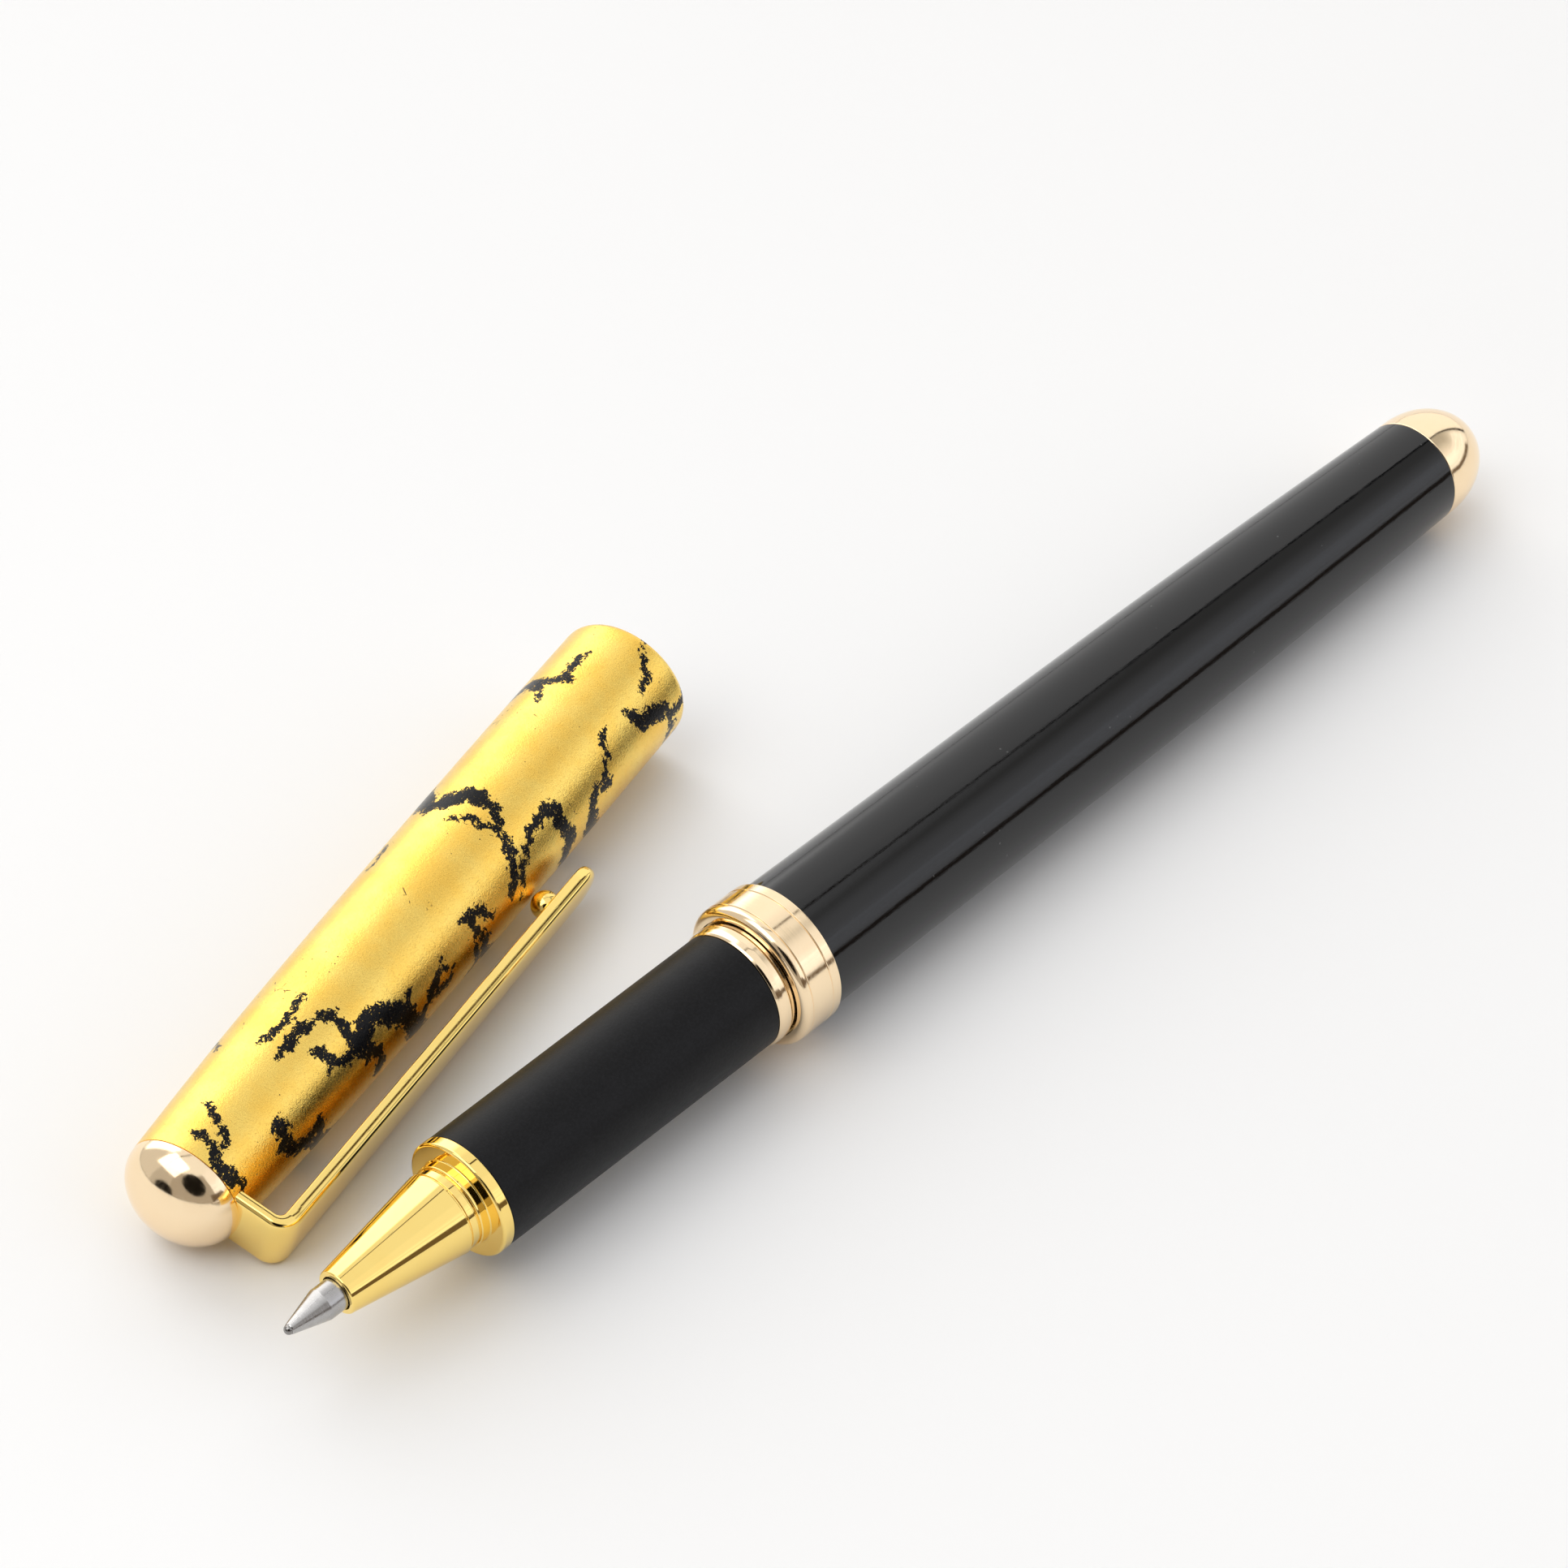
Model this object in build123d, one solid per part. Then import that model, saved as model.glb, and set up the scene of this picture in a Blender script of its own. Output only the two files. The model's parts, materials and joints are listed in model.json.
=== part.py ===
from build123d import *
import math
import os

# Capped rollerball pen, uncapped, with its cap lying beside it. Millimetres, +Z up.
# The pen's axis lies above the X axis, point towards -X. The origin is on the surface
# that both lie on, in the middle of the floor area that they cover.
# The pen is drawn along its own axis from the ball's foremost point (0) to the rear
# dome (PEN_LENGTH). The cap is drawn along its own axis from the dome joint (0) to
# the mouth (CAP_LENGTH), with the clip on its +Z side. Both are then laid down.

# ---- pen, positions along its axis ----
PEN_LENGTH = 122.0
SHOULDER = 3.1             # refill tip: cone ends, cylinder begins
NOSE_FRONT = 4.4
CONE_END = 13.5
FLANGE_FRONT = 15.1
FLANGE_BACK = 16.0
TENON_END = 21.5           # nose cone's thread inside the core
GRIP_END = 40.9
SNAP_END = 42.15
BAND_FRONT = 42.45
BAND_BACK = 45.95
THREAD_END = 52.5
BUSH_END = 56.0
BARREL_END = 115.7

# ---- pen, radii ----
BALL_R = 0.35
TIP_R = 1.15
NOSE_HOLE_R = 1.23
NOSE_FRONT_R = 1.62
NOSE_BORE_R = 1.55         # room for the refill's neck behind the nose hole
CONE_R = 3.05
STEP_1_R = 2.98
STEP_2_R = 3.08
FLANGE_R = 4.34
GRIP_FRONT_R = 4.30
GRIP_BACK_R = 4.40
SNAP_R = 4.58
SNAP_COLLAR_R = 4.34       # lower collar that fills the gap in front of the band
BAND_R = 5.42
BAND_RIM_R = 4.86          # flat rim at the band's front, where the cap's lip stops
CORE_R = 3.9
CORE_BORE_R = 2.98
TENON_R = 3.4
SEAL_POCKET = 0.34
THREAD_R = 3.72
BUSH_BORE_R = 3.78
BUSH_R = 4.2
BUSH_FLANGE_R = 4.55
BARREL_BORE_R = 3.6
DOME_R = 4.2
BARREL_PROFILE = [(BAND_BACK, 5.06), (60.0, 4.97), (80.0, 4.87), (95.0, 4.68), (106.0, 4.44), (BARREL_END, DOME_R)]

# ---- refill ----
HOLDER_FRONT = 5.43       # it stops against the inside of the nose, at 5.4
HOLDER_NECK_R = 1.45
HOLDER_R = 2.55
TUBE_FRONT = 23.0
TUBE_END = 105.0
TUBE_R = 2.9
TUBE_BORE_R = 2.6
SHOULDER_END = 107.5
REFILL_END = 109.0
NIPPLE_R = 1.5
SPRING_R = 2.05
WIRE_R = 0.2
SPRING_COILS = 5
SPRING_SEAT = 113.2

# ---- cap ----
CAP_LENGTH = 54.54
CAP_BASE_R = 4.25
CAP_DOME_LENGTH = 3.12
CAP_PROFILE = [(0.0, CAP_BASE_R), (8.0, 4.62), (18.0, 4.88), (30.0, 5.01), (42.0, 5.07), (53.9, 5.05)]
CAP_LIP_R = 4.75
CAP_BORE_R = 4.62
LINER_MOUTH = 26.8
LINER_SEAT = 6.2
LINER_R = 4.1
LINER_BORE_R = 3.75
SCREW_R = 1.25

# ---- clip, seen along its length with the clip straight up from the cap's axis ----
CLIP_THICK = 0.85
CLIP_INNER = 6.6           # flat inner face, from the axis
CLIP_CROWN = 7.8           # outer face along its middle, from the axis
CROWN_R = 32.0
CLIP_ROOT_W = 5.0
CLIP_END_W = 3.4
CLIP_LENGTH = 38.6
CLIP_TIP = 1.4             # length of the rounded free end
CLIP_PIVOT = (0.45, 7.02)  # along the axis, out from the axis
KNUCKLE_R = 0.42
KNUCKLE_GAP = 0.05
CLIP_BALL_R = 1.05
CLIP_BALL = (34.3, 6.17)

# ---- how the two assemblies lie ----
PEN_TIP = (-61.0, -12.84)
PEN_DROOP = 0.84           # degrees, the rear is thinner than the band, so it is lower
CAP_BASE = (-56.5, 1.52)
CAP_YAW = 12.6
CAP_RISE = 1.2             # degrees, the mouth is thicker than the dome end
CLIP_DOWN = 16.3           # degrees, how far below level the clip points
PEN_HEIGHT = BAND_R * math.cos(math.radians(PEN_DROOP)) + BAND_BACK * math.sin(math.radians(PEN_DROOP))
CAP_HEIGHT = 4.506


def turned(points):
    """A solid of revolution about the X axis, from an outline of (along, radius) points."""
    return revolve(make_face(Polyline(*points, close=True)), Axis.X)


def disc(start, end, outer, inner=0.0):
    """A plain disc or ring between two places along the axis."""
    return turned([(start, inner), (start, outer), (end, outer), (end, inner)])


def ring_seal(at, middle_r, section_r):
    """A rubber ring of round section."""
    place = Plane(origin=(at, 0, 0), x_dir=(0, 1, 0), z_dir=(1, 0, 0))
    return place * Torus(middle_r, section_r)


def writing_ball():
    return Pos(BALL_R, 0, 0) * Sphere(BALL_R)


def refill_tip():
    body = turned([(0.3, 0.0), (0.3, 0.40), (0.9, 0.52), (SHOULDER, TIP_R), (9.0, TIP_R), (9.0, 0.0)])
    socket = Pos(BALL_R, 0, 0) * Sphere(BALL_R + 0.03)
    return body - socket - disc(0.3, 9.0, 0.22) - disc(1.2, 9.0, 0.5)


def refill_holder():
    outline = [
        (HOLDER_FRONT, TIP_R),
        (HOLDER_FRONT, HOLDER_NECK_R),
        (12.6, HOLDER_NECK_R),
        (14.2, HOLDER_R),
        (TUBE_FRONT - 1.0, HOLDER_R),
        (TUBE_FRONT - 1.0, TUBE_R),
        (TUBE_FRONT, TUBE_R),
        (TUBE_FRONT, TUBE_BORE_R),
        (26.0, TUBE_BORE_R),
        (26.0, 0.8),
        (9.0, 0.8),
        (9.0, TIP_R),
    ]
    return turned(outline)


def ink_feed():
    return disc(1.3, 28.0, 0.42)


def refill_tube():
    return disc(TUBE_FRONT, TUBE_END, TUBE_R, TUBE_BORE_R)


def ink_reservoir():
    return disc(27.0, 102.5, 2.5) - disc(27.0, 28.0, 0.5)


def refill_end_plug():
    outline = [
        (102.8, 0.0),
        (102.8, TUBE_BORE_R),
        (TUBE_END, TUBE_BORE_R),
        (TUBE_END, TUBE_R),
        (SHOULDER_END - 0.3, TUBE_R),
        (SHOULDER_END, TUBE_R - 0.3),
        (SHOULDER_END, NIPPLE_R),
        (REFILL_END, NIPPLE_R - 0.2),
        (REFILL_END, 0.0),
    ]
    return turned(outline)


def nose_cone():
    hole_end = NOSE_FRONT + 1.0
    outline = [
        (NOSE_FRONT, NOSE_HOLE_R),
        (NOSE_FRONT, NOSE_FRONT_R - 0.12),
        (NOSE_FRONT + 0.15, NOSE_FRONT_R),
        (CONE_END, CONE_R),
        (CONE_END, CONE_R - 0.15),
        (CONE_END + 0.15, CONE_R - 0.15),
        (CONE_END + 0.15, STEP_1_R),
        (14.2, STEP_1_R),
        (14.2, STEP_1_R - 0.06),
        (14.35, STEP_1_R - 0.06),
        (14.35, STEP_2_R),
        (FLANGE_FRONT, STEP_2_R),
        (FLANGE_FRONT, FLANGE_R - 0.15),
        (FLANGE_FRONT + 0.15, FLANGE_R),
        (FLANGE_BACK, FLANGE_R),
        (FLANGE_BACK, TENON_R),
        (TENON_END, TENON_R),
        (TENON_END, 2.7),
        (14.0, 2.7),
        (12.3, NOSE_BORE_R),
        (hole_end, NOSE_BORE_R),
        (hole_end, NOSE_HOLE_R),
    ]
    return turned(outline)


def nose_seal():
    return ring_seal(FLANGE_BACK + 0.3, TENON_R + 0.17, 0.16)


def section_core():
    outline = [
        (FLANGE_BACK, TENON_R + SEAL_POCKET),
        (FLANGE_BACK, CORE_R),
        (SNAP_END, CORE_R),
        (SNAP_END, THREAD_R),
        (BAND_FRONT + 0.45, THREAD_R),
        (BAND_FRONT + 0.45, THREAD_R - 0.35),
        (BAND_FRONT + 1.05, THREAD_R - 0.35),
        (BAND_FRONT + 1.05, THREAD_R),
        (THREAD_END - 0.4, THREAD_R),
        (THREAD_END, THREAD_R - 0.3),
        (THREAD_END, CORE_BORE_R),
        (TENON_END + 0.1, CORE_BORE_R),
        (TENON_END + 0.1, TENON_R),
        (FLANGE_BACK + 0.6, TENON_R),
        (FLANGE_BACK + 0.6, TENON_R + SEAL_POCKET),
    ]
    return turned(outline)


def grip_sleeve():
    edge = 0.12
    outline = [
        (FLANGE_BACK, CORE_R),
        (FLANGE_BACK, GRIP_FRONT_R - edge),
        (FLANGE_BACK + edge, GRIP_FRONT_R),
        (GRIP_END - edge, GRIP_BACK_R),
        (GRIP_END, GRIP_BACK_R - edge),
        (GRIP_END, CORE_R),
    ]
    return turned(outline)


def snap_ring():
    outline = [
        (GRIP_END, CORE_R),
        (GRIP_END, GRIP_BACK_R + 0.02),
        (GRIP_END + 0.2, SNAP_R),
        (SNAP_END - 0.3, SNAP_R),
        (SNAP_END - 0.1, SNAP_R - 0.1),
        (SNAP_END, SNAP_COLLAR_R),
        (BAND_FRONT - 0.08, SNAP_COLLAR_R),
        (BAND_FRONT - 0.08, CORE_R),
    ]
    return turned(outline)


def section_seal():
    return ring_seal(BAND_FRONT + 0.75, THREAD_R - 0.16, 0.19)


def centre_band():
    score = 0.06
    outline = [
        (BAND_FRONT, BUSH_FLANGE_R),
        (BAND_FRONT, BAND_RIM_R),
        (BAND_FRONT + 0.1, BAND_R - 0.26),
        (BAND_FRONT + 0.28, BAND_R - 0.09),
        (BAND_FRONT + 0.55, BAND_R),
    ]
    for line in (BAND_FRONT + 0.75, BAND_BACK - 0.8):
        outline += [(line - score, BAND_R), (line, BAND_R - 0.08), (line + score, BAND_R)]
    outline += [(BAND_BACK - 0.08, BAND_R), (BAND_BACK, BAND_R - 0.08), (BAND_BACK, BUSH_FLANGE_R)]
    return turned(outline)


def thread_bush():
    outline = [
        (BAND_FRONT + 0.1, BUSH_BORE_R + 0.25),
        (BAND_FRONT + 0.1, BUSH_FLANGE_R),
        (BAND_BACK, BUSH_FLANGE_R),
        (BAND_BACK, BUSH_R),
        (BUSH_END, BUSH_R),
        (BUSH_END, BUSH_BORE_R),
        (BAND_FRONT + 1.2, BUSH_BORE_R),
        (BAND_FRONT + 1.2, BUSH_BORE_R + 0.25),
    ]
    return turned(outline)


def barrel_tube():
    side = Spline(*BARREL_PROFILE)
    inside = Polyline(
        BARREL_PROFILE[-1],
        (BARREL_END, BARREL_BORE_R),
        (BUSH_END + 0.5, BARREL_BORE_R),
        (BUSH_END + 0.5, BUSH_R),
        (BAND_BACK, BUSH_R),
        BARREL_PROFILE[0],
    )
    return revolve(make_face(side + inside), Axis.X)


def barrel_end_plug():
    outline = [
        (109.8, 2.6),
        (109.8, BARREL_BORE_R),
        (BARREL_END, BARREL_BORE_R),
        (BARREL_END, SCREW_R),
        (SPRING_SEAT, SCREW_R),
        (SPRING_SEAT, 2.6),
    ]
    return turned(outline)


def dome_stud():
    return disc(SPRING_SEAT, BARREL_END + 2.6, SCREW_R)


def rear_dome():
    collar = 0.9
    nose = EllipticalCenterArc((BARREL_END + collar, 0), PEN_LENGTH - BARREL_END - collar, DOME_R, 0, arc_size=90)
    rest = Polyline((BARREL_END + collar, DOME_R), (BARREL_END, DOME_R), (BARREL_END, 0), (PEN_LENGTH, 0))
    body = revolve(make_face(nose + rest), Axis.X)
    return body - disc(BARREL_END, BARREL_END + 2.8, SCREW_R)


def refill_spring():
    length = SPRING_SEAT - SHOULDER_END - 2 * WIRE_R
    path = Helix(length / SPRING_COILS, length, SPRING_R)
    section = Plane(origin=path @ 0, z_dir=path % 0) * Circle(WIRE_R)
    coil = sweep(section, path=path, is_frenet=True)
    return Pos(SHOULDER_END + WIRE_R, 0, 0) * Rot(0, 90, 0) * coil


def cap_tube():
    web_front = 0.85
    web_back = 2.0
    side = Spline(*CAP_PROFILE)
    lip = ThreePointArc(CAP_PROFILE[-1], (CAP_LENGTH - 0.14, 4.93), (CAP_LENGTH, CAP_LIP_R))
    inside = Polyline(
        (CAP_LENGTH, CAP_LIP_R),
        (CAP_LENGTH, CAP_BORE_R),
        (LINER_MOUTH, CAP_BORE_R),
        (LINER_MOUTH, LINER_R),
        (LINER_SEAT, LINER_R),
        (LINER_SEAT, BARREL_BORE_R),
        (web_back, BARREL_BORE_R),
        (web_back, SCREW_R + 0.05),
        (web_front, SCREW_R + 0.05),
        (web_front, 3.5),
        (0, 3.5),
        CAP_PROFILE[0],
    )
    body = revolve(make_face(side + lip + inside), Axis.X)
    notch = Pos(web_front / 2, 0, CAP_BASE_R) * Box(web_front, CLIP_ROOT_W + 0.1, 4.0)
    return body - notch


def cap_liner():
    wall = 0.8
    outline = [
        (LINER_SEAT, 0.0),
        (LINER_SEAT, LINER_R),
        (LINER_MOUTH, LINER_R),
        (LINER_MOUTH, LINER_BORE_R),
        (LINER_SEAT + wall, LINER_BORE_R),
        (LINER_SEAT + wall, 0.0),
    ]
    return turned(outline)


def cap_dome():
    bulge = 0.5523
    handles = [(-CAP_DOME_LENGTH, bulge * CAP_BASE_R), (-bulge * CAP_DOME_LENGTH, CAP_BASE_R)]
    nose = Bezier((-CAP_DOME_LENGTH, 0), *handles, (0, CAP_BASE_R))
    body = revolve(make_face(nose + Polyline((0, CAP_BASE_R), (0, 0), (-CAP_DOME_LENGTH, 0))), Axis.X)
    return body - disc(-2.2, 0.0, SCREW_R)


def cap_screw():
    head = turned([(2.4, 0), (2.4, 2.5), (3.5, 2.5), (3.8, 2.2), (3.8, 0)])
    slot = Pos(3.8, 0, 0) * Box(1.2, 6.0, 0.6)
    return head + disc(-2.0, 2.4, SCREW_R) - slot


def lock_washer():
    split = Pos(2.2, 2.0, 0) * Box(1.0, 1.6, 0.3)
    return disc(2.0, 2.4, 2.4, SCREW_R + 0.05) - split


def clip_crown(start, end):
    """The space between the clip's flat inner face and its gently rounded outer face."""
    middle = (start + end) / 2
    round_top = Pos(middle, 0, CLIP_CROWN - CROWN_R) * Rot(0, 90, 0) * Cylinder(CROWN_R, end - start)
    above = Pos(middle, 0, CLIP_INNER + 1) * Box(end - start, 8, 2)
    return round_top & above


def clip_root():
    """The ring under the dome and the plate that stands out from it to the bend."""
    thick = CLIP_THICK
    ring = disc(0.0, thick, 3.5, SCREW_R + 0.05)
    plate = Pos(thick / 2, 0, CLIP_PIVOT[1] / 2) * Box(thick, CLIP_ROOT_W, CLIP_PIVOT[1])
    bore = disc(0.0, thick, SCREW_R + 0.05)
    socket = Pos(CLIP_PIVOT[0], 0, CLIP_PIVOT[1]) * Rot(90, 0, 0) * Cylinder(KNUCKLE_R + KNUCKLE_GAP, 8)
    return ring + plate - bore - socket


def clip_arm():
    """The long springy strip, with a round root at the bend and a rounded free end."""
    start = CLIP_PIVOT[0] - KNUCKLE_R
    straight_end = CLIP_LENGTH - CLIP_TIP
    half = CLIP_ROOT_W / 2
    tip_half = CLIP_END_W / 2
    plan = Polyline((start, -half), (straight_end, -tip_half), (straight_end, tip_half), (start, half), close=True)
    column = extrude(make_face(plan), CLIP_CROWN + 1)
    column += extrude(Pos(straight_end, 0) * Ellipse(CLIP_TIP, tip_half), CLIP_CROWN + 1)
    strip = column & clip_crown(start, CLIP_LENGTH)
    plate_room = Pos(0, 0, CLIP_PIVOT[1] - 1) * Box(2 * (CLIP_THICK + 0.07), 8, 2)
    knuckle = Pos(CLIP_PIVOT[0], 0, CLIP_PIVOT[1]) * Rot(90, 0, 0) * Cylinder(KNUCKLE_R, CLIP_ROOT_W)
    return strip - plate_room + knuckle - clip_ball()


def clip_ball():
    return Pos(CLIP_BALL[0], 0, CLIP_BALL[1]) * Sphere(CLIP_BALL_R)


PEN_PIECES = [
    writing_ball, refill_tip, refill_holder, ink_feed, refill_tube, ink_reservoir, refill_end_plug,
    nose_cone, nose_seal, section_core, grip_sleeve, snap_ring, section_seal,
    centre_band, thread_bush, barrel_tube, barrel_end_plug, dome_stud, rear_dome, refill_spring,
]
CAP_PIECES = [cap_tube, cap_liner, cap_dome, cap_screw, lock_washer, clip_root, clip_arm, clip_ball]

pen_place = Pos(PEN_TIP[0], PEN_TIP[1], PEN_HEIGHT) * Rot(0, PEN_DROOP, 0)
cap_place = Pos(CAP_BASE[0], CAP_BASE[1], CAP_HEIGHT) * Rot(0, 0, CAP_YAW) * Rot(0, -CAP_RISE, 0)
cap_place = cap_place * Rot(90 + CLIP_DOWN, 0, 0)

os.makedirs("parts", exist_ok=True)
for piece in PEN_PIECES:
    export_step(pen_place * piece(), f"parts/{piece.__name__}.step")
for piece in CAP_PIECES:
    export_step(cap_place * piece(), f"parts/{piece.__name__}.step")
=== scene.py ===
import json
import math
import random

import bmesh
import bpy
import numpy as np
from mathutils import Matrix, Vector


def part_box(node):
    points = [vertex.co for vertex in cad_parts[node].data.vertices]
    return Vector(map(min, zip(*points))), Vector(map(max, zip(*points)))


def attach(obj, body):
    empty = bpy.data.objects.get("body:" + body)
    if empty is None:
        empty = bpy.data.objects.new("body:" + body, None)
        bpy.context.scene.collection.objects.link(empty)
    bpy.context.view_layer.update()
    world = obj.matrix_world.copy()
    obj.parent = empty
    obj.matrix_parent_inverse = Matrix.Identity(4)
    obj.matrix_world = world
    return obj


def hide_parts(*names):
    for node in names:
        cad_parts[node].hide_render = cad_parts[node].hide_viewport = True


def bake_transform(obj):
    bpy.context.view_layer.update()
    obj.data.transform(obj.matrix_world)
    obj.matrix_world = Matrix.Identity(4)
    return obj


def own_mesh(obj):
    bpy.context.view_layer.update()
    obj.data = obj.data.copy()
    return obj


# A rollerball pen with its cap off and lying beside it, on a pale studio floor.
# Outlines are in millimetres, as (along the axis, radius, corner rounding). The pen is
# measured from the ball's foremost point, and the cap from the joint under its dome.

MM = 0.001

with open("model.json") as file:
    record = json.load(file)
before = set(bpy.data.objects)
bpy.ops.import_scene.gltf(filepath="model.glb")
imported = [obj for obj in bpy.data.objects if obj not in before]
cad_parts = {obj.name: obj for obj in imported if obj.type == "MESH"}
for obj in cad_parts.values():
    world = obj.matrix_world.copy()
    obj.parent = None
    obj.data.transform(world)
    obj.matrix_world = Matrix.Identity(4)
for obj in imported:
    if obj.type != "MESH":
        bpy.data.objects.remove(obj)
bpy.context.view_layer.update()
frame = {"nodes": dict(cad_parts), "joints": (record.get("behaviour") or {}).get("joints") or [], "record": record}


# ---------------------------------------------------------------- places, from the record

def local_frame(origin, x_axis, y_axis):
    """The matrix that lays a piece drawn along +X down where its axis is."""
    x = Vector(x_axis).normalized()
    y = (Vector(y_axis) - x * x.dot(Vector(y_axis))).normalized()
    z = x.cross(y)
    place = Matrix((x, y, z)).transposed().to_4x4()
    place.translation = origin
    return place


JOINTS = {joint["name"]: joint for joint in frame["joints"]}
MOUNTS = {mount["name"]: mount for mount in frame["record"]["mounts"]}

BALL_R = 0.35
CAP_LENGTH = 54.54

pen_axis = Vector(JOINTS["refill_give"]["axis"])
ball_middle = sum((Vector(corner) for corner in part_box("writing_ball")), Vector()) / 2
PEN = local_frame(ball_middle - pen_axis * BALL_R * MM, pen_axis, (0, 1, 0))

cap_axis = Vector(JOINTS["cap_pull"]["axis"])
cap_mouth = Vector(MOUNTS["cap_bore"]["pos_m"])
CAP = local_frame(cap_mouth - cap_axis * CAP_LENGTH * MM, cap_axis, -Vector(JOINTS["clip_flex"]["axis"]))


# ---------------------------------------------------------------- node trees

class Shade:
    """A node tree being built: each call adds a node and gives its output."""

    def __init__(self, tree):
        self.tree = tree

    def node(self, kind, settings=None, inputs=None, output=0):
        made = self.tree.nodes.new(kind)
        for name, value in (settings or {}).items():
            setattr(made, name, value)
        for name, value in (inputs or {}).items():
            if isinstance(value, bpy.types.NodeSocket):
                self.tree.links.new(value, made.inputs[name])
            else:
                made.inputs[name].default_value = value
        return made.outputs[output]

    def math(self, operation, first, second=0.0, third=0.0):
        inputs = {0: first, 1: second, 2: third}
        return self.node("ShaderNodeMath", {"operation": operation}, inputs)

    def add(self, first, second):
        return self.math("ADD", first, second)

    def less(self, first, second):
        return self.math("SUBTRACT", first, second)

    def times(self, first, second):
        return self.math("MULTIPLY", first, second)

    def step(self, value, low, high, to_low=0.0, to_high=1.0):
        """A smooth step from to_low to to_high as the value goes from low to high."""
        inputs = {"Value": value, "From Min": low, "From Max": high, "To Min": to_low, "To Max": to_high}
        return self.node("ShaderNodeMapRange", {"interpolation_type": "SMOOTHSTEP"}, inputs)

    def band(self, value, low, high, soft):
        """1 between low and high, 0 outside, with soft edges."""
        rise = self.step(value, low - soft, low + soft)
        fall = self.step(value, high - soft, high + soft, 1.0, 0.0)
        return self.times(rise, fall)

    def object_place(self):
        return self.node("ShaderNodeTexCoord", output="Object")

    def scaled(self, vector, factors):
        settings = {"operation": "MULTIPLY"}
        return self.node("ShaderNodeVectorMath", settings, {0: vector, 1: factors})

    def noise(self, vector, scale, detail=3.0, roughness=0.5, output="Fac"):
        inputs = {"Vector": vector, "Scale": scale, "Detail": detail, "Roughness": roughness}
        return self.node("ShaderNodeTexNoise", {}, inputs, output)

    def cells(self, vector, scale, feature="F1"):
        inputs = {"Vector": vector, "Scale": scale}
        return self.node("ShaderNodeTexVoronoi", {"feature": feature}, inputs, "Distance")

    def cell_value(self, vector, scale):
        """A random value for each cell, the same all over the cell."""
        return self.node("ShaderNodeTexVoronoi", {}, {"Vector": vector, "Scale": scale}, "Color")

    def mix(self, factor, first, second):
        made = self.node("ShaderNodeMix", {"data_type": "RGBA"}, {"Factor": factor}, 2).node
        for socket, value in ((made.inputs[6], first), (made.inputs[7], second)):
            if isinstance(value, bpy.types.NodeSocket):
                self.tree.links.new(value, socket)
            else:
                socket.default_value = (*value, 1.0)
        return made.outputs[2]

    def bump(self, height, distance, strength=1.0):
        inputs = {"Height": height, "Distance": distance, "Strength": strength}
        return self.node("ShaderNodeBump", {}, inputs)

    def toward(self, way, aim):
        """How far the direction points along the aim, from -1 to 1."""
        return self.node("ShaderNodeVectorMath", {"operation": "DOT_PRODUCT"}, {0: way, 1: aim}, "Value")


def new_material(name):
    """A material with only a Principled shader and its output, and its tree to build in."""
    material = bpy.data.materials.new(name)
    material.use_nodes = True
    shade = Shade(material.node_tree)
    return material, shade, material.node_tree.nodes["Principled BSDF"]


def set_inputs(shade, shader, values):
    for name, value in values.items():
        if isinstance(value, bpy.types.NodeSocket):
            shade.tree.links.new(value, shader.inputs[name])
        elif isinstance(value, tuple):
            shader.inputs[name].default_value = (*value, 1.0)
        else:
            shader.inputs[name].default_value = value


# ---------------------------------------------------------------- materials

def turned_metal(name, colour, dark, rough, lines=0.4, line_depth=0.0012, mottle=0.25, smudge=0.08):
    """Metal turned on a lathe and then polished: fine lines round it, faint scratches, a little tarnish."""
    material, shade, shader = new_material(name)
    place = shade.object_place()
    line_field = shade.noise(shade.scaled(place, (9000.0, 260.0, 260.0)), 1.0, 2.0)
    scratch_field = shade.noise(shade.scaled(place, (700.0, 5200.0, 3100.0)), 1.0, 3.0, 0.7)
    scratches = shade.step(scratch_field, 0.64, 0.72)
    cloud = shade.noise(place, 420.0, 4.0, 0.6)
    fine_cloud = shade.noise(place, 2600.0, 3.0, 0.6)
    tint = shade.times(shade.step(cloud, 0.35, 0.75), mottle)
    base = shade.mix(tint, colour, dark)
    rough_value = shade.add(rough, shade.times(shade.step(fine_cloud, 0.4, 0.8), smudge))
    rough_value = shade.add(rough_value, shade.times(scratches, 0.06))
    height = shade.add(shade.times(line_field, lines), shade.times(scratches, -0.5))
    set_inputs(shade, shader, {
        "Base Color": base,
        "Metallic": 1.0,
        "Roughness": rough_value,
        "Normal": shade.bump(height, line_depth * MM),
    })
    return material


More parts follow.
